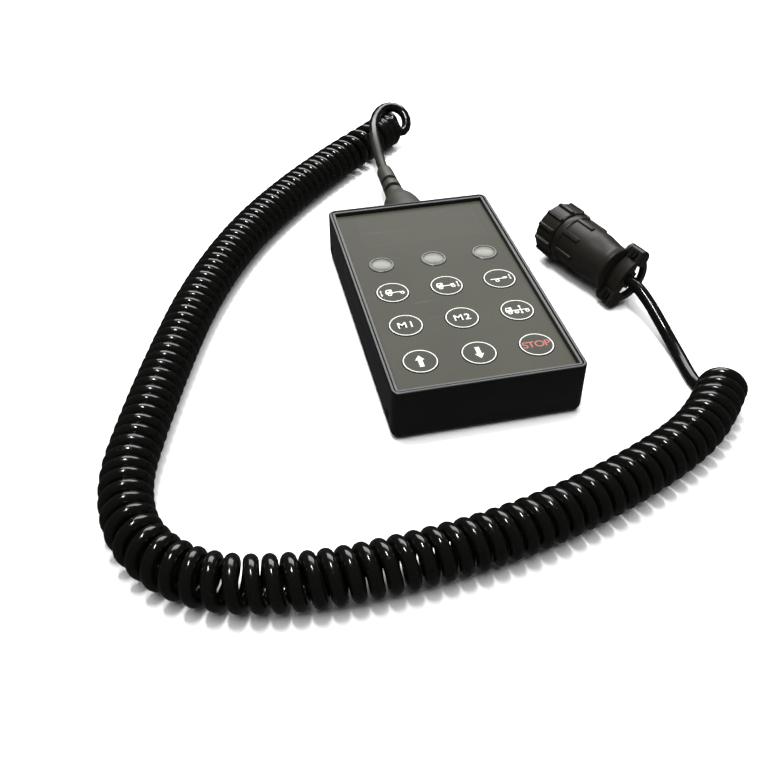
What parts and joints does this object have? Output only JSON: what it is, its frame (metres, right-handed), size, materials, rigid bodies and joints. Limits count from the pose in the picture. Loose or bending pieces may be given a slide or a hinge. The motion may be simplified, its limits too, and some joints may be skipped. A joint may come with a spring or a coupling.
{
  "type": "pendant control station",
  "caption": "Flat hand-held control box with round keys, indicator lamps and a blank window, on a curly cord with a round quick-connect plug.",
  "frame": {"origin": "centre of the handset's back, on the surface that everything lies on", "axes": "+X to the right of the keys, +Y along the handset towards its cable, +Z out of the key face"},
  "size_m": [0.263, 0.3529, 0.0292],
  "materials": {
    "case_plastic": "satin black injection-moulded ABS",
    "panel_film": "dark grey printed film, fine texture",
    "window_gloss": "smoother dark film over a blank window",
    "black_rubber": "matt black rubber",
    "key_plastic": "dark grey film over a key cap, with a pale printed ring and symbol",
    "bezel_plastic": "grey bezel ring",
    "lens_plastic": "pale grey translucent lens",
    "led_resin": "clear resin",
    "switch_metal": "pressed steel cover",
    "board_laminate": "green solder mask over glass laminate",
    "component_plastic": "black moulded packages",
    "screw_steel": "zinc-plated steel",
    "clamp_plastic": "dark grey nylon",
    "wire_insulation": "coloured insulation",
    "boot_rubber": "soft black strain relief",
    "cord_jacket": "gloss black flexible jacket",
    "plug_plastic": "satin black glass-filled nylon",
    "contact_brass": "gold-plated brass"
  },
  "bodies": {
    "handset": {"rear_shell": "case_plastic", "front_frame": "case_plastic", "keypad_panel": "panel_film", "blank_window": "window_gloss", "panel_gasket": "black_rubber", "interface_seal": "black_rubber", "cable_grommet": "black_rubber", "lamp_bezel_left": "bezel_plastic", "lamp_bezel_middle": "bezel_plastic", "lamp_bezel_right": "bezel_plastic", "lamp_lens_left": "lens_plastic", "lamp_lens_middle": "lens_plastic", "lamp_lens_right": "lens_plastic", "indicator_leds": "led_resin", "tactile_switches": "switch_metal", "circuit_board": "board_laminate", "board_components": "component_plastic", "board_connector": "component_plastic", "wire_housing": "component_plastic", "board_screws": "screw_steel", "case_screws": "screw_steel", "inner_clamp_screws": "screw_steel", "clamp_screws": "screw_steel", "inner_cable_clamp": "clamp_plastic", "wire_harness": "wire_insulation", "plug_wires": "wire_insulation", "cable_boot": "boot_rubber", "cable_tail": "cord_jacket", "cord_lead_handset": "cord_jacket", "cord_coil": "cord_jacket", "cord_lead_plug": "cord_jacket", "plug_cable_tail": "cord_jacket", "plug_shell": "plug_plastic", "ring_retainer": "plug_plastic", "plug_backshell": "plug_plastic", "clamp_bar": "plug_plastic", "contact_insert": "plug_plastic", "contact_sockets": "contact_brass"},
    "coupling_ring": {"plug_coupling_ring": "plug_plastic"},
    "key_raise_cap": {"key_raise": "key_plastic"},
    "key_lower_cap": {"key_lower": "key_plastic"},
    "key_stop_cap": {"key_stop": "key_plastic"},
    "key_memory_one_cap": {"key_memory_one": "key_plastic"},
    "key_memory_two_cap": {"key_memory_two": "key_plastic"},
    "key_travel_height_cap": {"key_travel_height": "key_plastic"},
    "key_front_axle_cap": {"key_front_axle": "key_plastic"},
    "key_both_axles_cap": {"key_both_axles": "key_plastic"},
    "key_rear_axle_cap": {"key_rear_axle": "key_plastic"}
  },
  "joints": [
    {"name": "key_raise_press", "type": "slide", "parent": "handset", "child": "key_raise_cap", "axis": [0, 0, -1], "range_m": [0, 0.0006], "stiffness_N_per_m": 1500, "springref_m": -0.001},
    {"name": "key_lower_press", "type": "slide", "parent": "handset", "child": "key_lower_cap", "axis": [0, 0, -1], "range_m": [0, 0.0006], "stiffness_N_per_m": 1500, "springref_m": -0.001},
    {"name": "key_stop_press", "type": "slide", "parent": "handset", "child": "key_stop_cap", "axis": [0, 0, -1], "range_m": [0, 0.0006], "stiffness_N_per_m": 1500, "springref_m": -0.001},
    {"name": "key_memory_one_press", "type": "slide", "parent": "handset", "child": "key_memory_one_cap", "axis": [0, 0, -1], "range_m": [0, 0.0006], "stiffness_N_per_m": 1500, "springref_m": -0.001},
    {"name": "key_memory_two_press", "type": "slide", "parent": "handset", "child": "key_memory_two_cap", "axis": [0, 0, -1], "range_m": [0, 0.0006], "stiffness_N_per_m": 1500, "springref_m": -0.001},
    {"name": "key_travel_height_press", "type": "slide", "parent": "handset", "child": "key_travel_height_cap", "axis": [0, 0, -1], "range_m": [0, 0.0006], "stiffness_N_per_m": 1500, "springref_m": -0.001},
    {"name": "key_front_axle_press", "type": "slide", "parent": "handset", "child": "key_front_axle_cap", "axis": [0, 0, -1], "range_m": [0, 0.0006], "stiffness_N_per_m": 1500, "springref_m": -0.001},
    {"name": "key_both_axles_press", "type": "slide", "parent": "handset", "child": "key_both_axles_cap", "axis": [0, 0, -1], "range_m": [0, 0.0006], "stiffness_N_per_m": 1500, "springref_m": -0.001},
    {"name": "key_rear_axle_press", "type": "slide", "parent": "handset", "child": "key_rear_axle_cap", "axis": [0, 0, -1], "range_m": [0, 0.0006], "stiffness_N_per_m": 1500, "springref_m": -0.001},
    {"name": "coupling_ring_turn", "type": "hinge", "parent": "handset", "child": "coupling_ring", "pos_m": [0.0725, 0.0473, 0.01465], "axis": [0.3074, -0.9516, 0], "continuous": true}
  ]
}
